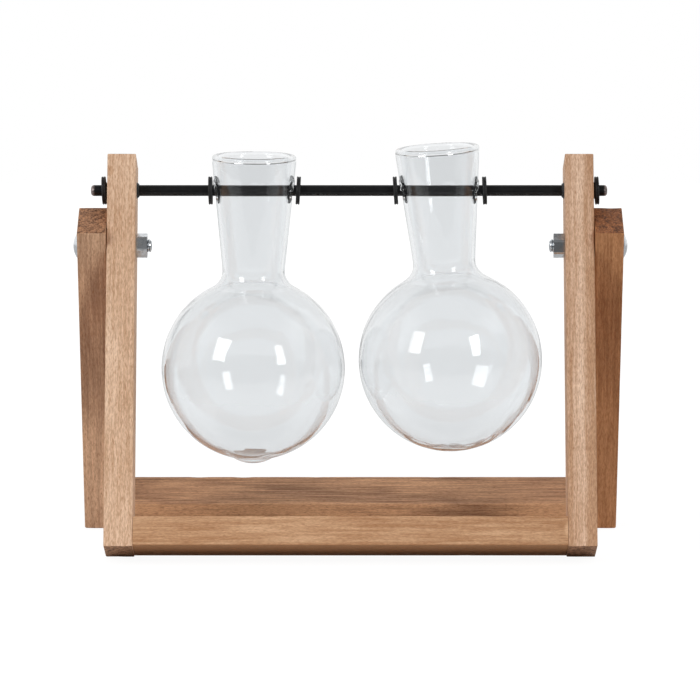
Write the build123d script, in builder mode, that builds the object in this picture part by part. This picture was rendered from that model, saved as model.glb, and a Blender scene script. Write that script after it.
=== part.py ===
"""Propagation vase: two round-bottomed glass flasks hung from a rod in a folding wooden easel.

Millimetres, +Z up, the front of the stand towards -Y. The origin is on the table,
under the middle of the whole thing.
"""

from math import cos, radians, sin, tan
import os

from build123d import *

# Wood: one stock for both U-shaped frames, with its wide faces turned to the sides
stock_thickness = 12.8
stock_depth = 25.0
edge_ease = 0.4
post_foot = 139.6
post_head = 39.3
front_lean = 20.6
rear_lean = 21.0
leg_head = 12.7
rail_height = 12.9
front_rail_lift = 0.6
side_gap = 0.3

# Nails, two through each upright into the end of its rail
nail_radius = 0.8
nail_length = 30.0
nail_head_radius = 1.4
nail_head_height = 0.6
nail_head_depth = 0.2
nail_spacing = 12.0
nail_fit = 0.02

# Pivot bolts: M6 carriage bolts with a round head and a square neck, and their hexagon nuts
bolt_radius = 3.0
bolt_head_radius = 6.4
bolt_head_height = 2.3
bolt_neck_side = 6.1
bolt_neck_length = 3.6
bolt_end_past_nut = 2.0
bolt_end_chamfer = 0.5
nut_across_flats = 10.0
nut_height = 4.8
nut_corner_cut = 0.5
left_nut_turn = 17.0
right_nut_turn = 2.0
nut_gap = 0.15
thread_fit = 0.03
neck_fit = 0.05
running_fit = 0.06

# Rod, the rubber bushes that it turns in and the rubber rings on it
rod_radius = 2.5
rod_above_pivot = 25.5
rod_left_overhang = 7.8
rod_right_overhang = 6.6
rod_end_rounding = 1.4
bush_radius = 3.7
bush_lip_length = 1.1
bush_lip_wall = 0.4
bush_fit = 0.02
ring_radius = 6.3
ring_thickness = 1.8
ring_edge_rounding = 0.3
ring_groove_radius = 0.25
end_hub_radius = 4.1
end_hub_top_radius = 3.2
end_hub_height = 0.7
end_ring_gap = 0.3

# Lean of each rubber ring, positive with its top to the left, and its gap to the flask beside it
left_end_ring_lean = 2.3
right_end_ring_lean = 2.0
left_outer_ring_lean = 1.0
left_inner_ring_lean = -3.3
right_inner_ring_lean = 3.6
right_outer_ring_lean = 2.2
left_outer_ring_gap = 0.15
left_inner_ring_gap = 0.15
right_inner_ring_gap = 0.15
right_outer_ring_gap = 1.3

# Flasks: blown glass, a round bulb under a tapered neck with a bead round the inside of its mouth
bulb_radius = 41.4
bulb_gap = 6.2
bulb_side_room = 10.1
pair_shift = 0.6
bulb_below_rim = 96.7
glass_wall = 1.6
bead_radius = 1.3
neck_mouth_radius = 18.9
neck_straight = 3.0
neck_taper = 5.7
shoulder_rounding = 8.5
hole_radius = 3.4
lip_radius = 6.8
lip_tube = 1.8
lip_sunk = 0.2
lip_lean = 7.0
hang_gap = 0.1
left_hole_below_rim = 16.8
right_hole_below_rim = 20.6
left_flask_tilt = -0.4
right_flask_tilt = 3.7
nub_radius = 17.6
left_nub_proud = 1.7
right_nub_proud = 0.25

# One overrun for every cut that passes right through
overrun = 1.0

# The stand rests on the posts' back bottom edge and on the legs' front bottom edge,
# so the posts set the pivot's height over the table, and that sets the legs' length
half_depth = stock_depth / 2
pivot_z = post_foot * cos(radians(front_lean)) + half_depth * sin(radians(front_lean))
leg_foot = (pivot_z - half_depth * sin(radians(rear_lean))) / cos(radians(rear_lean))
front_reach = half_depth * cos(radians(front_lean)) + post_foot * sin(radians(front_lean))
rear_reach = half_depth * cos(radians(rear_lean)) + leg_foot * sin(radians(rear_lean))
pivot_y = (front_reach - rear_reach) / 2

# Widths follow the two bulbs that hang side by side between the posts
post_inner = 2 * bulb_radius + bulb_gap / 2 + bulb_side_room
post_outer = post_inner + stock_thickness
leg_inner = post_outer + side_gap
leg_outer = leg_inner + stock_thickness

# The rod's axis crosses the posts over the pivot
rod_y = pivot_y + rod_above_pivot * sin(radians(front_lean))
rod_z = pivot_z + rod_above_pivot * cos(radians(front_lean))

# The frames' own planes: origin on the pivot axis, Z up along the wood, Y towards its back face
front_up = Vector(0, sin(radians(front_lean)), cos(radians(front_lean)))
rear_up = Vector(0, -sin(radians(rear_lean)), cos(radians(rear_lean)))
pivot = Vector(0, pivot_y, pivot_z)
front_plane = Plane(origin=pivot, x_dir=(1, 0, 0), z_dir=front_up)
rear_plane = Plane(origin=pivot, x_dir=(1, 0, 0), z_dir=rear_up)

# Heights of the rails' middles, measured in those planes
front_rail_centre = -post_foot + front_rail_lift + rail_height / 2
rear_rail_centre = -leg_foot + rail_height / 2

# Turns a round shape so that its axis lies across the stand
across = (0, 90, 0)

SIDES = (("left", -1), ("right", 1))

os.makedirs("parts", exist_ok=True)


def finish(piece, label):
    """Names a finished piece and writes its file."""
    piece.part.label = label
    export_step(piece.part, f"parts/{label}.step")


def nail_places(x, rail_centre):
    """The two nails of one joint, as places in the frame's own plane."""
    return [(x, y, rail_centre) for y in (-nail_spacing / 2, nail_spacing / 2)]


def upright_blank(side, inner, outer, head, foot, rail_centre, up):
    """The bar of a post or leg, eased along its length and at its top, with its nail holes."""
    middle = side * (inner + outer) / 2
    with Locations((middle, 0, (head - foot) / 2)):
        Box(outer - inner, stock_depth, head + foot)
    along = Axis((0, 0, 0), up)
    fillet(edges().filter_by(along) + faces().sort_by(along)[-1].edges(), radius=edge_ease)
    with Locations(nail_places(middle, rail_centre)):
        Cylinder(nail_radius + nail_fit, outer - inner + overrun, rotation=across, mode=Mode.SUBTRACT)
    with Locations(nail_places(side * outer, rail_centre)):
        Cylinder(nail_head_radius + nail_fit, 2 * (nail_head_height + nail_head_depth),
                 rotation=across, mode=Mode.SUBTRACT)
    return middle


# Front posts, bored for the pivot bolt and for the rod's bush
for name, side in SIDES:
    with BuildPart(front_plane) as post:
        middle = upright_blank(side, post_inner, post_outer, post_head, post_foot,
                               front_rail_centre, front_up)
        with Locations((middle, 0, 0)):
            Cylinder(bolt_radius + running_fit, stock_thickness + overrun,
                     rotation=across, mode=Mode.SUBTRACT)
        with Locations((middle, 0, rod_above_pivot)):
            Cylinder(bush_radius + bush_fit, stock_thickness + overrun,
                     rotation=across, mode=Mode.SUBTRACT)
    finish(post, f"{name}_post")

# Rear legs, outside the posts, with a square socket for the bolt's neck
for name, side in SIDES:
    with BuildPart(rear_plane) as leg:
        middle = upright_blank(side, leg_inner, leg_outer, leg_head, leg_foot,
                               rear_rail_centre, rear_up)
        with Locations((middle, 0, 0)):
            Cylinder(bolt_radius + neck_fit, stock_thickness + overrun,
                     rotation=across, mode=Mode.SUBTRACT)
        with Locations((side * leg_outer, 0, 0)):
            socket = bolt_neck_side + 2 * neck_fit
            Box(2 * (bolt_neck_length + neck_fit), socket, socket, mode=Mode.SUBTRACT)
    finish(leg, f"{name}_leg")

# Rails, butted between their uprights, and the nails that hold them
RAILS = (
    ("front_rail", front_plane, front_rail_centre, post_inner),
    ("rear_rail", rear_plane, rear_rail_centre, leg_inner),
)
for name, plane, centre, half_length in RAILS:
    outer = half_length + stock_thickness
    bite = nail_length + nail_head_depth - stock_thickness
    with BuildPart(plane) as rail:
        with Locations((0, 0, centre)):
            Box(2 * half_length, stock_depth, rail_height)
        fillet(rail.edges().filter_by(Axis.X), radius=edge_ease)
        for side in (-1, 1):
            with Locations(nail_places(side * half_length, centre)):
                Cylinder(nail_radius + nail_fit, 2 * (bite + nail_fit),
                         rotation=across, mode=Mode.SUBTRACT)
    finish(rail, name)

    with BuildPart(plane) as nails:
        for side in (-1, 1):
            with Locations(nail_places(side * (outer - nail_head_depth - nail_head_height / 2), centre)):
                Cylinder(nail_head_radius, nail_head_height, rotation=across)
            with Locations(nail_places(side * (outer - nail_head_depth - nail_length / 2), centre)):
                Cylinder(nail_radius, nail_length, rotation=across)
    finish(nails, f"{name}_nails")

# Pivot bolts, from their domed heads outside the legs to their tips inside the posts
nut_inner = post_inner - nut_gap - nut_height
bolt_length = leg_outer - nut_inner + bolt_end_past_nut
dome_radius = (bolt_head_radius**2 + bolt_head_height**2) / (2 * bolt_head_height)
for name, side in SIDES:
    bolt_plane = Plane(origin=(side * leg_outer, pivot_y, pivot_z), x_dir=rear_up, z_dir=(side, 0, 0))
    with BuildPart(bolt_plane) as bolt:
        with Locations((0, 0, bolt_head_height - dome_radius)):
            Sphere(dome_radius)
        split(bisect_by=bolt_plane)
        with Locations((0, 0, -bolt_neck_length / 2)):
            Box(bolt_neck_side, bolt_neck_side, bolt_neck_length)
        with Locations((0, 0, -bolt_length / 2)):
            Cylinder(bolt_radius, bolt_length)
        tip = bolt.faces().sort_by(Axis((0, 0, 0), bolt_plane.z_dir))[0]
        chamfer(tip.edges(), length=bolt_end_chamfer)
    finish(bolt, f"{name}_pivot_bolt")

# Nuts, each left at the turn at which it came tight, measured from one corner straight up
for name, side, turn in (("left", -1, left_nut_turn), ("right", 1, right_nut_turn)):
    nut_plane = Plane(origin=(side * nut_inner, pivot_y, pivot_z), x_dir=(0, 0, 1), z_dir=(side, 0, 0))
    with BuildPart(nut_plane) as nut:
        with BuildSketch(nut_plane):
            RegularPolygon(nut_across_flats / 2, 6, major_radius=False, rotation=turn)
            Circle(bolt_radius + thread_fit, mode=Mode.SUBTRACT)
        extrude(amount=nut_height)
        with BuildSketch(nut_plane):
            Circle(nut_across_flats / 2 + nut_corner_cut)
        extrude(amount=nut_height, mode=Mode.INTERSECT)
    finish(nut, f"{name}_pivot_nut")

# Rod, one straight round bar with rounded ends
with BuildPart() as rod:
    rod_length = 2 * post_outer + rod_left_overhang + rod_right_overhang
    with Locations(((rod_right_overhang - rod_left_overhang) / 2, rod_y, rod_z)):
        Cylinder(rod_radius, rod_length, rotation=across)
    fillet(rod.faces().filter_by(GeomType.PLANE).edges(), radius=rod_end_rounding)
finish(rod, "rod")

# Rubber bushes in the posts, each with a small cone round the rod on the inner face
bush_bore = rod_radius + running_fit
for name, side in SIDES:
    bush_plane = Plane(origin=(side * post_outer, rod_y, rod_z), x_dir=(0, 1, 0), z_dir=(-side, 0, 0))
    with BuildPart(bush_plane) as bush:
        with Locations((0, 0, stock_thickness / 2)):
            Cylinder(bush_radius, stock_thickness)
        with Locations((0, 0, stock_thickness + bush_lip_length / 2)):
            Cone(bush_radius, bush_bore + bush_lip_wall, bush_lip_length)
        with Locations((0, 0, stock_thickness / 2)):
            Cylinder(bush_bore, stock_thickness + 2 * (bush_lip_length + overrun), mode=Mode.SUBTRACT)
    finish(bush, f"{name}_post_bush")


def make_ring(label, x, lean, hub_side=None):
    """A rubber ring on the rod: a thin grooved disc that leans a little, with or without a low cone."""
    flat_axis = (cos(radians(lean)), 0, sin(radians(lean)))
    with BuildPart(Plane(origin=(x, rod_y, rod_z), x_dir=(0, 1, 0), z_dir=flat_axis)) as ring:
        Cylinder(ring_radius, ring_thickness)
        fillet(ring.edges().filter_by(GeomType.CIRCLE), radius=ring_edge_rounding)
        Torus(ring_radius, ring_groove_radius, mode=Mode.SUBTRACT)
        if hub_side:
            with Locations(Location((0, 0, hub_side * ring_thickness / 2), (90 - hub_side * 90, 0, 0))):
                Cone(end_hub_radius, end_hub_top_radius, end_hub_height,
                     align=(Align.CENTER, Align.CENTER, Align.MIN))
        with BuildSketch(Plane(origin=(x, rod_y, rod_z), x_dir=(0, 1, 0), z_dir=(1, 0, 0))):
            Circle(rod_radius + running_fit)
        extrude(amount=ring_thickness + end_hub_height + overrun, both=True, mode=Mode.SUBTRACT)
    finish(ring, label)


# Rings outside the posts, which keep the rod from sliding out, with their cones towards the wood
end_ring_x = post_outer + end_ring_gap + end_hub_height + ring_thickness / 2
make_ring("left_end_ring", -end_ring_x, left_end_ring_lean, 1)
make_ring("right_end_ring", end_ring_x, right_end_ring_lean, -1)

# A flask hangs on the rod by the tops of its two holes, whose middle is this far under the rod's axis
hole_drop = hole_radius - rod_radius - hang_gap
taper_slope = tan(radians(neck_taper))


def neck_radius(below_rim):
    """Outer radius of the neck at a distance below the rim."""
    return neck_mouth_radius - taper_slope * max(0, below_rim - neck_straight)


def turned_outline(plane, rim, inset, mode):
    """Turns the outline of neck and bulb, drawn in by an inset, and rounds where they meet."""
    ball_radius = bulb_radius - inset
    ball_centre = rim - bulb_below_rim
    mouth = neck_mouth_radius - inset
    top = rim + overrun if inset else rim - bead_radius
    shoulder = rim - neck_straight
    # The neck's cone runs on inside the bulb as far as the bulb's middle
    foot = neck_radius(bulb_below_rim) - inset
    with BuildSketch(Plane(origin=plane.origin, x_dir=plane.x_dir, z_dir=-plane.y_dir)) as outline:
        with BuildLine():
            Polyline((0, top), (mouth, top), (mouth, shoulder), (foot, ball_centre), (0, ball_centre),
                     close=True)
        make_face()
        with Locations((0, ball_centre)):
            Circle(ball_radius)
        with Locations((-ball_radius, ball_centre)):
            Rectangle(2 * ball_radius, 4 * ball_radius, mode=Mode.SUBTRACT)
        meeting = vertices().filter_by(lambda v: v.X > foot and ball_centre < v.Y < shoulder - overrun)
        fillet(meeting, radius=shoulder_rounding + inset)
    revolve(outline.sketch, axis=Axis(plane.origin, plane.z_dir), mode=mode)


def lip_place(side, tilt, hole_below_rim):
    """Middle of one hole's lip in the neck's own plane: its reach from the axis and its height."""
    rise = -side * neck_radius(hole_below_rim) * tan(radians(tilt))
    reach = neck_radius(hole_below_rim - rise) - lip_sunk - lip_tube
    return reach, rise - hole_drop


def make_flask(label, x, tilt, hole_below_rim, nub_proud):
    """One blown flask, its axis leaning by the tilt, and its two holes in line with the rod."""
    lean = radians(tilt)
    neck_plane = Plane(origin=(x, rod_y, rod_z), x_dir=(cos(lean), 0, sin(lean)),
                       z_dir=(-sin(lean), 0, cos(lean)))
    rim = hole_below_rim - hole_drop
    with BuildPart(neck_plane) as flask:
        turned_outline(neck_plane, rim, 0, Mode.ADD)
        with Locations((0, 0, rim - bulb_below_rim - bulb_radius - nub_proud + nub_radius)):
            Sphere(nub_radius)
        for side in (-1, 1):
            reach, height = lip_place(side, tilt, hole_below_rim)
            slant = side * (90 + neck_taper + lip_lean)
            with Locations(Location((side * reach, 0, height), (0, slant, 0))):
                Torus(lip_radius - lip_tube, lip_tube)
        turned_outline(neck_plane, rim, glass_wall, Mode.SUBTRACT)
        with Locations((0, 0, rim - bead_radius)):
            Torus(neck_mouth_radius - bead_radius, bead_radius)
        with BuildSketch(Plane(origin=(x, rod_y, rod_z - hole_drop), x_dir=(0, 1, 0), z_dir=(1, 0, 0))):
            Circle(hole_radius)
        extrude(amount=2 * neck_mouth_radius, both=True, mode=Mode.SUBTRACT)
    finish(flask, label)


def ring_reach(side, tilt, hole_below_rim, lean, gap):
    """From the neck's axis to the middle of a leaning ring that clears the hole's lip at every turn."""
    reach, height = lip_place(side, tilt, hole_below_rim)
    lip_slant = abs(neck_taper + lip_lean - side * tilt)
    lip_middle = reach * cos(radians(tilt)) - side * height * sin(radians(tilt))
    lip_half = lip_tube + (lip_radius - lip_tube) * sin(radians(lip_slant))
    ring_half = ring_thickness / 2 + ring_radius * sin(radians(abs(lean)))
    return lip_middle + lip_half + gap + ring_half


# Two flasks side by side, each between two rings
FLASKS = (
    ("left", -1, left_flask_tilt, left_hole_below_rim, left_nub_proud, (
        ("outer", -1, left_outer_ring_lean, left_outer_ring_gap),
        ("inner", 1, left_inner_ring_lean, left_inner_ring_gap),
    )),
    ("right", 1, right_flask_tilt, right_hole_below_rim, right_nub_proud, (
        ("inner", -1, right_inner_ring_lean, right_inner_ring_gap),
        ("outer", 1, right_outer_ring_lean, right_outer_ring_gap),
    )),
)
for name, side, tilt, hole_below_rim, nub_proud, rings in FLASKS:
    bulb_x = pair_shift + side * (bulb_radius + bulb_gap / 2)
    neck_x = bulb_x - (bulb_below_rim - hole_below_rim + hole_drop) * sin(radians(tilt))
    make_flask(f"{name}_flask", neck_x, tilt, hole_below_rim, nub_proud)
    for place, ring_side, lean, gap in rings:
        ring_x = neck_x + ring_side * ring_reach(ring_side, tilt, hole_below_rim, lean, gap)
        make_ring(f"{name}_flask_{place}_ring", ring_x, lean)
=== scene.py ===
"""Propagation vase: two glass flasks on a black rod in a folding stand of brown-stained wood."""

from math import asin, cos, pi, radians, sin, sqrt

import bmesh
import bpy
from mathutils import Matrix, Vector, noise


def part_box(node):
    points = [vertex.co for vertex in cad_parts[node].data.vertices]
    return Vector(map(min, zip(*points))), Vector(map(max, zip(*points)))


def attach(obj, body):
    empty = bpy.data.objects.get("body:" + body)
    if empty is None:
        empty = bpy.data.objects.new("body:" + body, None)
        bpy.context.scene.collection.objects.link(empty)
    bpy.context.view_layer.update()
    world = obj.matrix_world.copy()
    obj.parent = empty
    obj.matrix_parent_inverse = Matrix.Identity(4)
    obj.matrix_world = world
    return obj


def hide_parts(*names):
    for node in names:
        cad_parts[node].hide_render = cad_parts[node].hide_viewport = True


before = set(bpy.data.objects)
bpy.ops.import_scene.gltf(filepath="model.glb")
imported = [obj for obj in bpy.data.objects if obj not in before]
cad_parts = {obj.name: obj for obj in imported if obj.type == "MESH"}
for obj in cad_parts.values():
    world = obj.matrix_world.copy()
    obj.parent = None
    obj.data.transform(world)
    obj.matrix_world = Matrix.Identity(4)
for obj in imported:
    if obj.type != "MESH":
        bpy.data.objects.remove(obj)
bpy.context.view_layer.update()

scene = bpy.context.scene
scene.view_settings.view_transform = "Standard"


# Camera. A long lens a little over two metres in front of the stand, so that its edges hardly draw
# together. It looks down on the stand by less than eight degrees.
camera_place = (-0.0002, -2.3217, 0.3989)
camera_pitch = 7.633
camera_reach = 20.0
sensor_width = 36.0
lens_in_pixels = 5209
frame_in_pixels = 700
camera = bpy.data.objects.new("camera", bpy.data.cameras.new("camera"))
camera.location = camera_place
camera.rotation_euler = (radians(90 - camera_pitch), 0, 0)
camera.data.sensor_width = sensor_width
camera.data.lens = lens_in_pixels / frame_in_pixels * sensor_width
camera.data.clip_end = camera_reach
scene.collection.objects.link(camera)
scene.camera = camera


# Studio. A white backdrop lights the stand from behind and from the sides. Bare metal and glass mirror
# a dark ceiling, a dark wall far to the right and the dark room behind the camera.
white = (1, 1, 1, 1)
fill_light = 0.72
fill_turn = (-0.9, -0.45)
fill_dark_share = 0.28
mirror_turn = (-0.8, 0.2)
mirror_dark_rise = (0.12, 0.42)
mirror_dark_level = 0.13
mirror_dark_above = 0.22
ceiling_turn = (0.65, 0.93)
ceiling_dark_share = 0.3
right_turn = (0.75, 0.95)
right_dark_share = 0.3
one_bounce = 0.5


def add_node(tree, kind, settings=None, **inputs):
    """A node of a kind, with settings by name and inputs by name, each a value or an output to link."""
    node = tree.nodes.new(kind)
    for name, value in (settings or {}).items():
        setattr(node, name, value)
    for name, value in inputs.items():
        socket = node.inputs[int(name[1:])] if name[0] == "_" else node.inputs[name.replace("_", " ")]
        if isinstance(value, bpy.types.NodeSocket):
            tree.links.new(value, socket)
        else:
            socket.default_value = value
    return node


def calc(tree, operation, *values):
    """The output of a math node on values or outputs."""
    inputs = {f"_{place}": value for place, value in enumerate(values)}
    return add_node(tree, "ShaderNodeMath", {"operation": operation}, **inputs).outputs[0]


def ramp(tree, value, stretch, bottom=0.0, top=1.0):
    """A value carried smoothly from bottom to top between the two ends of a stretch."""
    node = add_node(tree, "ShaderNodeMapRange", {"interpolation_type": "SMOOTHSTEP"}, Value=value,
                    From_Min=stretch[0], From_Max=stretch[1], To_Min=bottom, To_Max=top)
    return node.outputs["Result"]


def split(tree, vector):
    """The X, Y and Z of a vector."""
    return add_node(tree, "ShaderNodeSeparateXYZ", Vector=vector).outputs


def mix_shaders(tree, share, first, second):
    """The output of a mix of two shaders by a share."""
    return add_node(tree, "ShaderNodeMixShader", Fac=share, _1=first, _2=second).outputs[0]


world = bpy.data.worlds.new("studio")
scene.world = world
world.use_nodes = True
tree = world.node_tree
tree.nodes.clear()
way = split(tree, add_node(tree, "ShaderNodeTexCoord").outputs["Generated"])
fill = calc(tree, "MULTIPLY", ramp(tree, way["Y"], fill_turn, fill_dark_share), fill_light)
dark_front = ramp(tree, way["Z"], mirror_dark_rise, mirror_dark_level, mirror_dark_above)
mirrored = calc(tree, "MULTIPLY", ramp(tree, way["Y"], mirror_turn, dark_front),
                ramp(tree, way["Z"], ceiling_turn, 1.0, ceiling_dark_share))
mirrored = calc(tree, "MULTIPLY", mirrored, ramp(tree, way["X"], right_turn, 1.0, right_dark_share))
fill_room = add_node(tree, "ShaderNodeBackground", Color=white, Strength=fill).outputs[0]
mirror_room = add_node(tree, "ShaderNodeBackground", Color=white, Strength=mirrored).outputs[0]
backdrop = add_node(tree, "ShaderNodeBackground", Color=white, Strength=1.0).outputs[0]

# Through glass the backdrop shows only straight on: light that a surface throws there meets the room
paths = add_node(tree, "ShaderNodeLightPath").outputs
thrown = calc(tree, "GREATER_THAN", paths["Glossy Depth"], one_bounce)
scattered = calc(tree, "GREATER_THAN", paths["Diffuse Depth"], one_bounce)
turned = calc(tree, "MULTIPLY", paths["Is Transmission Ray"], thrown)
through = calc(tree, "SUBTRACT", paths["Is Transmission Ray"], calc(tree, "ADD", thrown, scattered))
straight = calc(tree, "GREATER_THAN", through, one_bounce)
room = mix_shaders(tree, calc(tree, "MAXIMUM", paths["Is Glossy Ray"], turned), fill_room, mirror_room)
studio = mix_shaders(tree, calc(tree, "MAXIMUM", paths["Is Camera Ray"], straight), room, backdrop)
add_node(tree, "ShaderNodeOutputWorld", Surface=studio)


# Softboxes. Two upright cloth-fronted lamps in front of the stand, one to each side of the camera and
# above it. They light the fronts of the frames and show as bright panes on the bulbs.
flask_middle = Vector((0, 0.0085, 0.08))

# Each softbox: name, azimuth, elevation, distance from the flasks, width, height and power
softboxes = (
    ("left_softbox", -46.6, 26.4, 0.9, 0.28, 0.42, 2.1),
    ("right_softbox", 35.5, 22.8, 0.9, 0.17, 0.37, 1.3),
)
for name, azimuth, elevation, distance, width, height, power in softboxes:
    lamp = bpy.data.objects.new(name, bpy.data.lights.new(name, "AREA"))
    lamp.data.shape = "RECTANGLE"
    lamp.data.size = width
    lamp.data.size_y = height
    lamp.data.energy = power
    turn, rise = radians(azimuth), radians(elevation)
    toward_lamp = Vector((sin(turn) * cos(rise), -cos(turn) * cos(rise), sin(rise)))
    lamp.location = flask_middle + toward_lamp * distance
    lamp.rotation_euler = toward_lamp.to_track_quat("Z", "Y").to_euler()
    scene.collection.objects.link(lamp)


# Floor. A matt white sheet that the stand rests on, bright but for a faint shadow under the frames.
# In what metal and glass mirror it falls off into the dark towards the camera, as the room does.
floor_side = 1.6
floor_front = 0.42
floor_grey = (0.8, 0.8, 0.8, 1)
floor_glow = 1.09
floor_shadow_share = 0.14
floor_shadow_reach = (0.2, 0.4)
floor_fade = (-floor_front, -0.06)
floor_dark_share = 0.1
black = (0, 0, 0, 1)


def blend_colours(tree, share, first, second, blend="MIX"):
    """The colour output of a mix of two colours by a share."""
    return add_node(tree, "ShaderNodeMix", {"data_type": "RGBA", "blend_type": blend}, _0=share, _6=first,
                    _7=second).outputs[2]


def vector_calc(tree, operation, *values):
    """The output of a vector math node on vectors: a vector, or a plain value for a length."""
    inputs = {f"_{place}": value for place, value in enumerate(values)}
    outputs = add_node(tree, "ShaderNodeVectorMath", {"operation": operation}, **inputs).outputs
    return outputs["Value" if operation == "LENGTH" else "Vector"]


def new_material(name):
    """An empty node material and its tree."""
    material = bpy.data.materials.new(name)
    material.use_nodes = True
    material.node_tree.nodes.clear()
    return material, material.node_tree


def to_output(tree, shader):
    """Links a shader to the material's output."""
    add_node(tree, "ShaderNodeOutputMaterial", Surface=shader)


mesh = bpy.data.meshes.new("floor")
corners = [(-floor_side, -floor_front, 0), (floor_side, -floor_front, 0), (floor_side, floor_side, 0),
           (-floor_side, floor_side, 0)]
mesh.from_pydata(corners, [], [(0, 1, 2, 3)])
floor = bpy.data.objects.new("floor", mesh)
scene.collection.objects.link(floor)
material, tree = new_material("floor")
place = add_node(tree, "ShaderNodeTexCoord").outputs["Object"]
fade = ramp(tree, split(tree, place)["Y"], floor_fade, floor_dark_share)
faded = blend_colours(tree, fade, black, floor_grey)
fading = add_node(tree, "ShaderNodeBsdfDiffuse", Color=faded).outputs[0]
lit = add_node(tree, "ShaderNodeBsdfDiffuse", Color=floor_grey).outputs[0]
glow = add_node(tree, "ShaderNodeEmission", Color=white, Strength=floor_glow).outputs[0]
glow_share = ramp(tree, vector_calc(tree, "LENGTH", place), floor_shadow_reach, 1 - floor_shadow_share)
paths = add_node(tree, "ShaderNodeLightPath").outputs
seen = calc(tree, "MAXIMUM", paths["Is Camera Ray"], paths["Is Transmission Ray"])
to_output(tree, mix_shaders(tree, seen, fading, mix_shaders(tree, glow_share, lit, glow)))
mesh.materials.append(material)


# Posts. The uprights of the front frame, which lean back. All bars of the stand are sawn from one stock
# of hardwood, sanded, stained brown and left matt. The grain runs along each bar, with short dark pores,
# pale fibres, slow clouds of stain and growth rings.
front_lean = 20.6
screen_levels = 255
screen_offset = 0.055
screen_power = 2.4

# Each layer of the grain: scales across and along it per metre, detail, roughness, shift, and the
# stretch of the noise that is drawn out to the full range
grain_layers = {
    "bend": (60, 14, 2.0, 0.55, 0.0, None),
    "cloud": (70, 16, 3.0, 0.55, 0.0, (0.3, 0.7)),
    "streak": (1050, 42, 3.0, 0.6, 3.0, (0.3, 0.7)),
    "fray": (150, 60, 3.0, 0.55, 5.0, None),
    "fibre": (2100, 430, 2.0, 0.7, 7.0, (0.33, 0.67)),
    "pore": (1900, 400, 1.0, 0.55, 9.0, (0.58, 0.72)),
    "soak": (260, 90, 2.0, 0.55, 2.0, (0.35, 0.65)),
}
middle_tone = 0.5
layer_mean = 0.5
heart_side = 0.02
heart_depth = 0.015
heart_step = 0.001
ring_width = 0.0031
ring_bend = 0.006
ring_stretch = (-0.4, 1.0)
ring_mean = 0.45
patch_fray = 0.9
patch_edge = (0.8, 1.6)
fibre_pale_shares = (1.0, 1.1, 1.2)
fibre_dark_shares = (1.0, 1.4, 1.7)
pore_strength_share = 3.2
pore_shares = (0.78, 0.58, 0.44)
end_turn = (0.5, 0.9)
end_speck_scale = 1100.0
end_speck_detail = 2.0
end_speck_stretch = (0.4, 0.6)
end_speck_share = 0.5
end_soak_share = 0.38
end_ring_share = 0.12
end_pale_shares = (0.68, 0.53, 0.43)
end_dark_shares = (0.20, 0.135, 0.09)
pore_depth_share = 0.8
fibre_depth_share = 0.6
grain_depth = 0.00012
grain_relief = 0.5
stain_roughness = (0.55, 0.7)
stain_sheen = 0.3


def srgb(red, green, blue):
    """A colour as it looks on screen, in the linear values that shaders take."""
    levels = [value / screen_levels for value in (red, green, blue)]
    return tuple(((level + screen_offset) / (1 + screen_offset)) ** screen_power for level in levels) + (1,)


def toned(colour, shares):
    """A colour whose channels are taken down by shares."""
    return tuple(channel * share for channel, share in zip(colour, shares)) + (1,)


def mottle(tree, place, scale, detail, **more):
    """The value of a noise texture at a place."""
    node = add_node(tree, "ShaderNodeTexNoise", Vector=place, Scale=scale, Detail=detail, **more)
    return node.outputs["Fac"]


def relief(tree, height, depth, strength):
    """The normal of a surface that a height roughens."""
    return add_node(tree, "ShaderNodeBump", Height=height, Distance=depth, Strength=strength).outputs[0]


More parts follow.
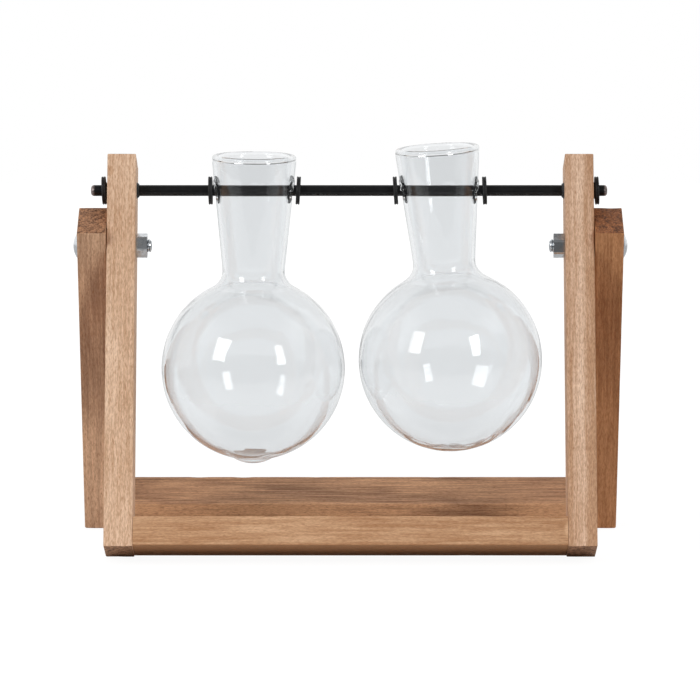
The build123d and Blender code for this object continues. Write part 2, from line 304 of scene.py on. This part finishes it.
def wood(name, lean, pale, dark, place, along_x=False, fleck=0.16, clouds=0.9, streaks=0.3, rings=0.1,
         ring_slant=0.0, patches=()):
    """The stain of one bar, its grain along the bar, which leans by an angle or lies along X.

    Each patch is a middle and reaches in the bar's own axes and how much darker it makes the bar, paler where
    below naught: some patches are stain, some painted shade or painted light.
    """
    material, tree = new_material(name)
    coordinates = add_node(tree, "ShaderNodeTexCoord").outputs
    turn = (radians(lean), 0, 0)
    own = add_node(tree, "ShaderNodeMapping", Vector=coordinates["Object"], Rotation=turn).outputs[0]
    facing = add_node(tree, "ShaderNodeMapping", {"vector_type": "VECTOR"}, Vector=coordinates["Normal"],
                      Rotation=turn).outputs[0]
    bar, face = split(tree, own), split(tree, facing)
    side, depth, grain = ("Z", "Y", "X") if along_x else ("X", "Y", "Z")
    fibre = add_node(tree, "ShaderNodeCombineXYZ", X=bar[side], Y=bar[depth], Z=bar[grain]).outputs[0]

    def layer(name):
        """One layer of noise, drawn out along the grain."""
        across, along, detail, roughness, shift, stretch = grain_layers[name]
        drawn = add_node(tree, "ShaderNodeMapping", Vector=fibre, Scale=(across, across, along),
                         Location=(place[0] + shift, place[1], place[2] - shift)).outputs[0]
        value = mottle(tree, drawn, 1.0, detail, Roughness=roughness)
        return ramp(tree, value, stretch) if stretch else value

    # Growth rings: waves of the distance from a heart beside the bar, bent by slow noise
    heart = add_node(tree, "ShaderNodeMapping", Vector=fibre, Rotation=(0, radians(ring_slant), 0),
                     Location=(heart_side + heart_step * place[0], heart_depth, 0)).outputs[0]
    radius = vector_calc(tree, "LENGTH", vector_calc(tree, "MULTIPLY", heart, (1, 1, 0)))
    bent = calc(tree, "MULTIPLY_ADD", layer("bend"), ring_bend, radius)
    ring = ramp(tree, calc(tree, "SINE", calc(tree, "MULTIPLY", bent, 2 * pi / ring_width)), ring_stretch)

    streak = layer("streak")
    cloud_part = clouds / 2
    tone = middle_tone - (cloud_part + streaks) * layer_mean - rings * ring_mean
    for value, part in ((layer("cloud"), cloud_part), (streak, streaks), (ring, rings)):
        tone = calc(tree, "MULTIPLY_ADD", value, part, tone)
    fray = layer("fray")
    for middle, reach, amount in patches:
        away = vector_calc(tree, "DIVIDE", vector_calc(tree, "SUBTRACT", own, middle), reach)
        frayed = calc(tree, "MULTIPLY_ADD", fray, patch_fray, vector_calc(tree, "LENGTH", away))
        tone = calc(tree, "ADD", tone, ramp(tree, frayed, patch_edge, amount, 0.0))
    colour = blend_colours(tree, tone, pale, dark)

    # Flecks: short fibres, some paler and some darker, and the dark mouths of pores
    fibres, pores = layer("fibre"), layer("pore")
    pale_tint = tuple(1 + fleck * share for share in fibre_pale_shares) + (1,)
    dark_tint = tuple(1 - fleck * share for share in fibre_dark_shares) + (1,)
    colour = blend_colours(tree, fibres, blend_colours(tree, 1.0, colour, pale_tint, "MULTIPLY"),
                           blend_colours(tree, 1.0, colour, dark_tint, "MULTIPLY"))
    pore_share = calc(tree, "MULTIPLY", pores, min(1.0, fleck * pore_strength_share))
    colour = blend_colours(tree, pore_share, colour, toned(dark, pore_shares))

    # End grain takes more stain, and its rings and cut pores show
    specks = ramp(tree, mottle(tree, fibre, end_speck_scale, end_speck_detail), end_speck_stretch)
    end_tone = calc(tree, "MULTIPLY", ring, end_ring_share)
    end_tone = calc(tree, "MULTIPLY_ADD", specks, end_speck_share, end_tone)
    end_tone = calc(tree, "MULTIPLY_ADD", layer("soak"), end_soak_share, end_tone)
    end_colour = blend_colours(tree, end_tone, toned(pale, end_pale_shares), toned(dark, end_dark_shares))
    end = ramp(tree, calc(tree, "ABSOLUTE", face[grain]), end_turn)
    colour = blend_colours(tree, end, colour, end_colour)

    height = calc(tree, "MULTIPLY_ADD", pores, -pore_depth_share,
                  calc(tree, "MULTIPLY", fibres, -fibre_depth_share))
    surface = add_node(tree, "ShaderNodeBsdfPrincipled", Base_Color=colour, Specular_IOR_Level=stain_sheen,
                       Roughness=ramp(tree, streak, (0.0, 1.0), *stain_roughness),
                       Normal=relief(tree, height, grain_depth, grain_relief))
    to_output(tree, surface.outputs[0])
    return material


def as_mesh(shape, name):
    """The mesh of a finished shape, which is used up."""
    mesh = bpy.data.meshes.new(name)
    shape.to_mesh(mesh)
    shape.free()
    return mesh


def new_piece(name, mesh, node_name, body, place=None):
    """An object at the origin, its place in its mesh, that stands for a node of the frame."""
    if place is not None:
        mesh.transform(place)
    piece = bpy.data.objects.new(name, mesh)
    scene.collection.objects.link(piece)
    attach(piece, body)
    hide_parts(node_name)
    return piece


def cut(mesh, cutters):
    """Takes closed shapes out of a mesh, each an own mesh that is used up."""
    holder = bpy.data.objects.new("cutting", mesh)
    scene.collection.objects.link(holder)
    tools = []
    for cutter in cutters:
        tool = bpy.data.objects.new("cutter", cutter)
        scene.collection.objects.link(tool)
        tools.append(tool)
        change = holder.modifiers.new("cut", "BOOLEAN")
        change.operation, change.solver, change.object = "DIFFERENCE", "EXACT", tool
    result = bpy.data.meshes.new_from_object(holder.evaluated_get(bpy.context.evaluated_depsgraph_get()))
    for thing in tools + [holder]:
        bpy.data.objects.remove(thing)
    return result


hole_segments = 32
hole_fit = 0.00005
overrun = 0.001
bolt_hole_radius = 0.00306
nail_radius = 0.0008
nail_head_radius = 0.0014
nail_head_depth = 0.0009
same_point = 1e-6


def drill(x_from, x_to, y, z, radius):
    """A round cutter along X."""
    shape = bmesh.new()
    place = Matrix.Translation(((x_from + x_to) / 2, y, z)) @ Matrix.Rotation(pi / 2, 4, "Y")
    bmesh.ops.create_cone(shape, cap_ends=True, segments=hole_segments, radius1=radius, radius2=radius,
                          depth=abs(x_to - x_from), matrix=place)
    return as_mesh(shape, "drill")


def box_of(points):
    """The lowest and highest corners of a box around points."""
    return [Vector([pick(point[axis] for point in points) for axis in range(3)]) for pick in (min, max)]


def centre_line(low, high):
    """Y and Z of the middle of a box, where the axis of a round piece along X lies."""
    return (low.y + high.y) / 2, (low.z + high.z) / 2


def bolt_drill(prefix, low, high):
    """A cutter for the pivot bolt of a side through the width of a post or leg."""
    axis = centre_line(*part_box(f"{prefix}_pivot_bolt"))
    return drill(low.x - overrun, high.x + overrun, *axis, bolt_hole_radius)


def nail_boxes(node_name):
    """The lowest and highest corners of every loose nail in a node."""
    shape = bmesh.new()
    shape.from_mesh(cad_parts[node_name].data)
    bmesh.ops.remove_doubles(shape, verts=shape.verts, dist=same_point)
    left = set(shape.verts)
    boxes = []
    while left:
        group, reached = set(), [left.pop()]
        while reached:
            vertex = reached.pop()
            group.add(vertex)
            for edge in vertex.link_edges:
                other = edge.other_vert(vertex)
                if other in left:
                    left.remove(other)
                    reached.append(other)
        boxes.append(box_of([vertex.co for vertex in group]))
    shape.free()
    return boxes


def nail_drills(nails, bar_low, bar_high):
    """Cutters for the nails that pass through a bar, and for the heads that end there."""
    cutters = []
    for low, high in nails:
        if low.x < bar_high.x and high.x > bar_low.x:
            axis = centre_line(low, high)
            cutters.append(drill(low.x, high.x, *axis, nail_radius + hole_fit))
            head = low.x if low.x + high.x < 0 else high.x
            if bar_low.x - overrun < head < bar_high.x + overrun:
                cutters.append(drill(head - nail_head_depth, head + nail_head_depth, *axis,
                                     nail_head_radius + hole_fit))
    return cutters


cell_size = 0.0017
edge_rows = (0.0, 0.00022, 0.0005, 0.0009)
wear_least = 0.00028
wear_spread = 0.0003
wear_most = 0.00095
wear_scale = 260.0
chip_scale_share = 0.35
chip_from = 0.25
chip_depth = 0.0016
sharp_angle = 40


def worn_bar(node_name, lean, seed, handled=1.0):
    """The bar of a node as a fine grid whose edges are rounded off unevenly by sanding and handling."""
    turn = Matrix.Rotation(radians(lean), 4, "X")
    low, high = box_of([turn @ vertex.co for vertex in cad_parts[node_name].data.vertices])
    rows = []
    for axis in range(3):
        length = high[axis] - low[axis]
        inner = length - 2 * edge_rows[-1]
        steps = max(2, round(inner / cell_size))
        middle = [edge_rows[-1] + inner * step / steps for step in range(1, steps)]
        rows.append(list(edge_rows) + middle + [length - row for row in reversed(edge_rows)])
    shape = bmesh.new()
    found = {}

    def corner(*index):
        """The one vertex at a place of the grid."""
        if index not in found:
            found[index] = shape.verts.new([rows[axis][index[axis]] for axis in range(3)])
        return found[index]

    for axis in range(3):
        first, second = (axis + 1) % 3, (axis + 2) % 3
        for end in (0, len(rows[axis]) - 1):
            for a in range(len(rows[first]) - 1):
                for b in range(len(rows[second]) - 1):
                    loop = []
                    for step_a, step_b in ((0, 0), (1, 0), (1, 1), (0, 1)):
                        index = [0, 0, 0]
                        index[axis], index[first], index[second] = end, a + step_a, b + step_b
                        loop.append(corner(*index))
                    shape.faces.new(loop if end else loop[::-1])
    size = high - low
    for vertex in shape.verts:
        away = [min(vertex.co[axis], size[axis] - vertex.co[axis]) for axis in range(3)]
        rough = noise.noise(vertex.co * wear_scale + Vector((seed, 0, 0))) / 2 + 0.5
        chip_spot = vertex.co * wear_scale * chip_scale_share + Vector((0, seed, 0))
        chip = max(0, noise.noise(chip_spot) - chip_from)
        wear = min(wear_most, handled * (wear_least + wear_spread * rough) + chip_depth * chip)
        lack = [wear - distance if distance < wear else 0 for distance in away]
        length = sqrt(sum(value**2 for value in lack))
        for axis in range(3):
            if lack[axis] > 0:
                moved = wear - lack[axis] * wear / length
                vertex.co[axis] = moved if vertex.co[axis] < size[axis] / 2 else size[axis] - moved
    bmesh.ops.recalc_face_normals(shape, faces=shape.faces)
    mesh = as_mesh(shape, node_name)
    mesh.transform(turn.inverted() @ Matrix.Translation(low))
    return mesh


def finish_bar(node_name, mesh, body, material):
    """Shades a bar smooth but for the rims of its holes, and puts it in the place of its node."""
    for face in mesh.polygons:
        face.use_smooth = True
    mesh.set_sharp_from_angle(angle=radians(sharp_angle))
    mesh.materials.clear()
    mesh.materials.append(material)
    new_piece(f"{node_name}_sawn", mesh, node_name, body)


# Patches on the posts: a knot, dark marks at the edges beside the pivots, which are painted shade of the gap
# where the legs cross over slightly crushed wood, and darker and paler bands
post_face = -0.0605
posts = (
    ("left_post", 3.1, wood(
        "left_post_wood", front_lean, srgb(244, 210, 180), srgb(208, 167, 133), (3.1, 7.7, 1.3),
        clouds=0.6, streaks=0.55, rings=0.1,
        patches=(((-0.1079, post_face, 0.1577), (0.0016, 0.01, 0.0024), 3.0),
                 # Painted shade: the dark mark beside the left pivot, where the leg meets the post, over
                 # slightly crushed wood
                 ((-0.1106, post_face, 0.1262), (0.0011, 0.006, 0.0036), 2.5),
                 ((-0.1030, post_face, 0.125), (0.008, 0.02, 0.03), 0.12),
                 ((-0.1060, post_face, 0.066), (0.0045, 0.02, 0.03), -0.4)))),
    ("right_post", 8.4, wood(
        "right_post_wood", front_lean, srgb(241, 207, 179), srgb(199, 156, 122), (11.3, 2.9, 5.2),
        fleck=0.18, clouds=0.5, streaks=0.55, rings=0.1,
        patches=(((0.1085, post_face, 0.06), (0.0042, 0.02, 0.3), 0.45),
                 ((0.0965, post_face, 0.06), (0.0022, 0.02, 0.3), 0.3),
                 ((0.1022, post_face, 0.06), (0.0022, 0.02, 0.3), -0.35),
                 ((0.1025, post_face, 0.015), (0.03, 0.02, 0.04), 0.3),
                 # Painted shade: the dark mark beside the right pivot, where the leg meets the post, over
                 # slightly crushed wood
                 ((0.1106, post_face, 0.1262), (0.0011, 0.006, 0.0036), 2.5)))),
)
front_nails = nail_boxes("front_rail_nails")
for name, seed, material in posts:
    low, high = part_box(name)
    prefix = name.split("_")[0]
    bush_low, bush_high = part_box(f"{prefix}_post_bush")
    bush_hole_radius = (bush_high.z - bush_low.z) / 2 + hole_fit
    cutters = [drill(low.x - overrun, high.x + overrun, *centre_line(bush_low, bush_high), bush_hole_radius),
               bolt_drill(prefix, low, high)]
    mesh = cut(worn_bar(name, front_lean, seed), cutters + nail_drills(front_nails, low, high))
    finish_bar(name, mesh, "front_frame", material)


# Legs. The uprights of the rear frame, outside the posts, which lean forward. Each is drilled for its
# pivot bolt, whose square neck is drawn into a socket in the outer face.
rear_lean = -21.0
socket_side = 0.0062
socket_depth = 0.0037


def block(name, place):
    """A unit cube that a matrix sets, turns and stretches."""
    shape = bmesh.new()
    bmesh.ops.create_cube(shape, size=1, matrix=place)
    return as_mesh(shape, name)


# Patches on the legs: a darker middle, a dark spot below the left pivot, and the tone of the feet
leg_face = 0.0355
legs = (
    ("left_leg", 5.7, wood(
        "left_leg_wood", rear_lean, srgb(234, 191, 155), srgb(161, 123, 97), (8.2, 1.4, 2.6),
        fleck=0.15, clouds=0.35, streaks=0.4, rings=0.06,
        patches=(((-0.1165, leg_face, 0.078), (0.022, 0.02, 0.046), 0.36),
                 ((-0.1110, leg_face, 0.113), (0.007, 0.02, 0.022), 0.25),
                 ((-0.1165, leg_face, 0.015), (0.022, 0.02, 0.03), -0.12)))),
    ("right_leg", 2.2, wood(
        "right_leg_wood", rear_lean, srgb(208, 150, 104), srgb(156, 105, 67), (1.9, 12.2, 8.8),
        fleck=0.13, clouds=0.4, streaks=0.4, rings=0.06,
        patches=(((0.1170, leg_face, 0.078), (0.022, 0.02, 0.046), 0.36),
                 ((0.1170, leg_face, 0.012), (0.022, 0.02, 0.03), 0.2)))),
)
rear_nails = nail_boxes("rear_rail_nails")
for name, seed, material in legs:
    low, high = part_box(name)
    prefix = name.split("_")[0]
    outer = low.x if low.x < 0 else high.x
    socket_place = Matrix.Translation((outer, *centre_line(*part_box(f"{prefix}_pivot_bolt"))))
    socket = block("socket", socket_place @ Matrix.Rotation(radians(-rear_lean), 4, "X")
                   @ Matrix.Diagonal((2 * socket_depth, socket_side, socket_side, 1)))
    cutters = [bolt_drill(prefix, low, high), socket] + nail_drills(rear_nails, low, high)
    mesh = cut(worn_bar(name, rear_lean, seed), cutters)
    finish_bar(name, mesh, "rear_frame", material)


# Rails. Crosspieces of the same stock between the feet of the posts and of the legs, butted against
# their inner faces and nailed from outside. Their edges are handled less and stay crisper.
rail_wear_share = 0.45

# Patches on the rails: painted shade on the underside of the front rail, darker stretches, a pale smear of
# glue, and painted light that makes the front of the rear rail paler
rails = (
    ("front_rail", front_lean, 7.9, "front_frame", "front_wood", front_nails, wood(
        "front_rail_wood", front_lean, srgb(224, 181, 142), srgb(186, 138, 99), (6.4, 9.1, 0.7),
        along_x=True, fleck=0.11, clouds=0.9, streaks=0.65, rings=0.2,
        # Painted shade: the front rail's underside, which faces the floor, made darker
        patches=(((0.0, -0.048, -0.0131), (0.5, 0.03, 0.0011), 1.3),
                 ((0.08, post_face, -0.006), (0.08, 0.02, 0.02), 0.22),
                 ((0.0957, post_face, -0.0055), (0.0016, 0.02, 0.0040), -1.0)))),
    ("rear_rail", rear_lean, 4.6, "rear_frame", "rear_wood", rear_nails, wood(
        "rear_rail_wood", rear_lean, srgb(210, 161, 121), srgb(144, 104, 77), (14.5, 5.5, 3.9),
        along_x=True, fleck=0.14, clouds=1.2, streaks=0.75, rings=0.12, ring_slant=3.0,
        # Painted light: the whole front face of the rear rail made paler, where the front rail shades it
        patches=(((0.0, leg_face, -0.0075), (0.5, 0.002, 0.013), -0.6),
                 ((0.055, leg_face, -0.008), (0.03, 0.004, 0.009), 0.8)))),
)
for name, lean, seed, body, slot, nails, material in rails:
    mesh = cut(worn_bar(name, lean, seed, rail_wear_share), nail_drills(nails, *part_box(name)))
    finish_bar(name, mesh, body, material)


# Nails. Plain steel wire nails with small heads, driven just below the face of the wood, two through
# each foot into the end of its rail.
metal_dull_share = 0.8
metal_cloud_detail = 3.0
metal_dull_stretch = (0.35, 0.7)
metal_polish_stretch = (0.3, 0.7)
metal_relief = 0.03
metal_relief_depth = 0.0001


def metal(name, colour, roughness, spread, speck_scale):
    """Bare metal with a slightly uneven polish."""
    material, tree = new_material(name)
    place = add_node(tree, "ShaderNodeTexCoord").outputs["Object"]
    cloud = mottle(tree, place, speck_scale, metal_cloud_detail)
    dull = toned(colour, [metal_dull_share] * 3)
    surface = add_node(
        tree, "ShaderNodeBsdfPrincipled", Metallic=1.0,
        Base_Color=blend_colours(tree, ramp(tree, cloud, metal_dull_stretch), colour, dull),
        Roughness=ramp(tree, cloud, metal_polish_stretch, roughness - spread, roughness + spread),
        Normal=relief(tree, cloud, metal_relief_depth, metal_relief))
    to_output(tree, surface.outputs[0])
    return material


def dress(node_name, material):
    """Gives a piece that stays as it was cut its finish."""
    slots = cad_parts[node_name].data.materials
    slots.clear()
    slots.append(material)


nail_steel = metal("nail_steel", colour=(0.42, 0.42, 0.43, 1), roughness=0.42, spread=0.1, speck_scale=900.0)
for name in ("front_rail_nails", "rear_rail_nails"):
    dress(name, nail_steel)


# Nuts. Bright zinc-plated hexagon nuts, pulled up against the inner faces of the posts. Their corners
# are slightly rounded, as on pressed nuts.
nut_edge = 0.00028
nut_edge_steps = 3
nut_edge_angle = 25
zinc = metal("zinc", colour=(0.70, 0.73, 0.76, 1), roughness=0.2, spread=0.05, speck_scale=600.0)
for name in ("left_pivot_nut", "right_pivot_nut"):
    dress(name, zinc)
    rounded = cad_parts[name].modifiers.new("edges", "BEVEL")
    rounded.width = nut_edge
    rounded.segments = nut_edge_steps
    rounded.limit_method = "ANGLE"
    rounded.angle_limit = radians(nut_edge_angle)


# Pivot bolts. Zinc-plated carriage bolts: a low round head outside the leg, a square neck that
# bites into the wood, and a shank whose rolled thread shows where it stands out of the nut.
head_radius = 0.0064
head_height = 0.0023
dome_steps = 14
neck_side = 0.0061
neck_length = 0.0036
shank_radius = 0.003
end_chamfer = 0.0005
bolt_segments = 48
thread_root_radius = 0.00246
thread_length = 0.018
thread_pitch = 0.001
thread_turn_steps = 32
ridge_sides = 6


def lathe(name, outline, segments):
    """Turns an outline of radius and height points about Z; points of no radius become poles."""
    shape = bmesh.new()
    angles = [2 * pi * k / segments for k in range(segments)]
    rings = []
    for radius, height in outline:
        spots = [(radius * cos(angle), radius * sin(angle), height) for angle in angles]
        rings.append([shape.verts.new(spot) for spot in (spots if radius else [(0, 0, height)])])
    for below, above in zip(rings, rings[1:]):
        for k in range(segments):
            after = (k + 1) % segments
            if len(below) == 1:
                shape.faces.new((below[0], above[after], above[k]))
            elif len(above) == 1:
                shape.faces.new((below[k], below[after], above[0]))
            else:
                shape.faces.new((below[k], below[after], above[after], above[k]))
    bmesh.ops.recalc_face_normals(shape, faces=shape.faces)
    for face in shape.faces:
        face.smooth = True
    return as_mesh(shape, name)


def join(meshes, name):
    """One mesh of several."""
    shape = bmesh.new()
    for mesh in meshes:
        shape.from_mesh(mesh)
    return as_mesh(shape, name)


def thread_tree(material):
    """Geometry nodes that wind one rolled thread: a ridge swept along a helix."""
    tree = bpy.data.node_groups.new("rolled_thread", "GeometryNodeTree")
    tree.interface.new_socket("Geometry", in_out="OUTPUT", socket_type="NodeSocketGeometry")
    for label in ("Root Radius", "Pitch", "Length"):
        tree.interface.new_socket(label, in_out="INPUT", socket_type="NodeSocketFloat")
    given = tree.nodes.new("NodeGroupInput").outputs
    turns = calc(tree, "DIVIDE", given["Length"], given["Pitch"])
    half_pitch = calc(tree, "DIVIDE", given["Pitch"], 2)
    helix = add_node(tree, "GeometryNodeCurveSpiral", Resolution=thread_turn_steps, Rotations=turns,
                     Start_Radius=given["Root Radius"], End_Radius=given["Root Radius"],
                     Height=given["Length"])
    ridge = add_node(tree, "GeometryNodeCurvePrimitiveCircle", Resolution=ridge_sides, Radius=half_pitch)
    swept = add_node(tree, "GeometryNodeCurveToMesh", Curve=helix.outputs[0],
                     Profile_Curve=ridge.outputs["Curve"], Fill_Caps=True)
    real = add_node(tree, "GeometryNodeRealizeInstances", Geometry=swept.outputs[0])
    painted = add_node(tree, "GeometryNodeSetMaterial", Geometry=real.outputs[0], Material=material)
    add_node(tree, "NodeGroupOutput", Geometry=painted.outputs[0])
    return tree


def grown(name, tree, **inputs):
    """The plain mesh that a geometry node tree makes from named inputs."""
    holder = bpy.data.objects.new(name, bpy.data.meshes.new(name))
    scene.collection.objects.link(holder)
    modifier = holder.modifiers.new("nodes", "NODES")
    modifier.node_group = tree
    for item in tree.interface.items_tree:
        if item.in_out == "INPUT" and item.name.replace(" ", "_") in inputs:
            modifier[item.identifier] = inputs[item.name.replace(" ", "_")]
    mesh = bpy.data.meshes.new_from_object(holder.evaluated_get(bpy.context.evaluated_depsgraph_get()))
    holder.modifiers.clear()
    bpy.data.objects.remove(holder)
    mesh.name = name
    return mesh


rolled_thread = thread_tree(zinc)
dome_radius = (head_radius**2 + head_height**2) / (2 * head_height)
dome_angles = [asin(head_radius / dome_radius) * k / dome_steps for k in range(dome_steps, -1, -1)]
dome_centre = head_height - dome_radius
dome = [(dome_radius * sin(angle), dome_radius * cos(angle) + dome_centre) for angle in dome_angles]
for side, prefix in ((-1, "left"), (1, "right")):
    low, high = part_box(f"{prefix}_pivot_bolt")
    tip_x = high.x if side < 0 else low.x
    seat_x = low.x + head_height if side < 0 else high.x - head_height
    length = abs(seat_x - tip_x)
    thread_end = thread_length - length
    shank = [(0, -length), (thread_root_radius - end_chamfer, -length),
             (thread_root_radius, end_chamfer - length), (thread_root_radius, thread_end),
             (shank_radius, thread_end + end_chamfer), (shank_radius, 0)]
    turned_body = lathe("bolt_body", shank + dome, bolt_segments)
    neck = block("bolt_neck", Matrix.Translation((0, 0, -neck_length / 2))
                 @ Matrix.Diagonal((neck_side, neck_side, neck_length, 1)))
    ridge = grown("bolt_thread", rolled_thread, Root_Radius=thread_root_radius, Pitch=thread_pitch,
                  Length=thread_length - thread_pitch)
    ridge.transform(Matrix.Translation((0, 0, thread_pitch / 2 - length)))
    outward = Vector((side, 0, 0)).to_track_quat("Z", "Y").to_matrix().to_4x4()
    bolt = new_piece(f"{prefix}_carriage_bolt", join([turned_body, neck, ridge], f"{prefix}_carriage_bolt"),
                     f"{prefix}_pivot_bolt", "rear_frame",
                     Matrix.Translation((seat_x, *centre_line(low, high))) @ outward)
    bolt.data.materials.append(zinc)
    for face in bolt.data.polygons:
        face.material_index = 0


# Rod. Steel bar lacquered black. Its ends were cut and rounded after that, and are bare and slightly
# scuffed, the right one a little further in.
lacquer_black = (0.006, 0.006, 0.0068, 1)
lacquer_sheen = 0.35
bare_steel = (0.30, 0.25, 0.24, 1)
bare_length = 0.0012
bare_shift = 0.0006
bare_fray = 0.0012
bare_edge = 0.0008
scuff_scale = 700.0
scuff_detail = 4.0
scuff_stretch = (0.3, 0.7)
scuff_roughness = (0.3, 0.42)
scuff_relief = 0.1
scuff_depth = 0.00008


def black_lacquer(name, bare_from):
    """Black lacquer that is worn through to the steel beyond a distance from the middle."""
    material, tree = new_material(name)
    place = add_node(tree, "ShaderNodeTexCoord").outputs["Object"]
    scuffs = mottle(tree, place, scuff_scale, scuff_detail)
    reach = calc(tree, "ABSOLUTE", calc(tree, "ADD", split(tree, place)["X"], bare_shift))
    frayed = calc(tree, "MULTIPLY_ADD", scuffs, bare_fray, reach)
    bare = ramp(tree, frayed, (bare_from, bare_from + bare_edge))
    surface = add_node(tree, "ShaderNodeBsdfPrincipled", Metallic=bare, Specular_IOR_Level=lacquer_sheen,
                       Base_Color=blend_colours(tree, bare, lacquer_black, bare_steel),
                       Roughness=ramp(tree, scuffs, scuff_stretch, *scuff_roughness),
                       Normal=relief(tree, scuffs, scuff_depth, scuff_relief))
    to_output(tree, surface.outputs[0])
    return material


rod_low, rod_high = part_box("rod")
dress("rod", black_lacquer("rod_lacquer", (rod_high.x - rod_low.x) / 2 - bare_length))


# Rubber. Moulded black rubber, matt and a little dusty: bushes pressed into the holes of the posts, and
# thin rings pushed along the rod that hold it and the flasks in their places.
rubber_black = (0.013, 0.013, 0.014, 1)
rubber_dusty = (0.032, 0.032, 0.033, 1)
dust_scale = 450.0
dust_detail = 5.0
dust_grit = 0.6
dust_stretch = (0.4, 0.75)
rubber_stretch = (0.3, 0.7)
rubber_roughness = (0.5, 0.66)
rubber_relief = 0.2
rubber_relief_depth = 0.0001
rubber_nodes = ("left_post_bush", "right_post_bush", "left_end_ring", "right_end_ring",
                "left_flask_outer_ring", "left_flask_inner_ring",
                "right_flask_inner_ring", "right_flask_outer_ring")
material, tree = new_material("black_rubber")
place = add_node(tree, "ShaderNodeTexCoord").outputs["Object"]
dust = mottle(tree, place, dust_scale, dust_detail, Roughness=dust_grit)
surface = add_node(tree, "ShaderNodeBsdfPrincipled",
                   Base_Color=blend_colours(tree, ramp(tree, dust, dust_stretch), rubber_black, rubber_dusty),
                   Roughness=ramp(tree, dust, rubber_stretch, *rubber_roughness),
                   Normal=relief(tree, dust, rubber_relief_depth, rubber_relief))
to_output(tree, surface.outputs[0])
for name in rubber_nodes:
    dress(name, material)


# Flasks. Clear glass blown by hand: an even round bulb with a dab of thicker glass underneath, a neck
# that widens to a fire-polished rim, and two holes with thick melted lips that the rod passes through.
glass_colour = (0.862, 0.876, 0.886, 1)
glass_ior = 1.47
thin_glass_colour = (0.93, 0.94, 0.945, 1)
mirrored_most = 1.5
swirl_stretch = (1.0, 1.0, 0.35)
swirl_scale = 55.0
swirl_detail = 1.0
swirl_twist = 0.6
ripple_scale = 330.0
ripple_share = 0.02
swirl_depth = 0.0004
material, tree = new_material("clear_glass")
place = add_node(tree, "ShaderNodeTexCoord").outputs["Object"]
drawn = add_node(tree, "ShaderNodeMapping", Vector=place, Scale=swirl_stretch).outputs[0]
swirls = mottle(tree, drawn, swirl_scale, swirl_detail, Distortion=swirl_twist)
waves = calc(tree, "MULTIPLY_ADD", mottle(tree, drawn, ripple_scale, 0.0), ripple_share, swirls)
glass = add_node(tree, "ShaderNodeBsdfPrincipled", Base_Color=glass_colour, Roughness=0.0, IOR=glass_ior,
                 Transmission_Weight=1.0, Normal=relief(tree, waves, swirl_depth, 1.0)).outputs[0]

# Shadows, and light that was mirrored more than once, go straight through as through thin glass
thin_glass = add_node(tree, "ShaderNodeBsdfTransparent", Color=thin_glass_colour).outputs[0]
paths = add_node(tree, "ShaderNodeLightPath").outputs
often_mirrored = calc(tree, "GREATER_THAN", paths["Glossy Depth"], mirrored_most)
passes = calc(tree, "MAXIMUM", paths["Is Shadow Ray"], often_mirrored)
to_output(tree, mix_shaders(tree, passes, glass, thin_glass))
for name in ("left_flask", "right_flask"):
    dress(name, material)
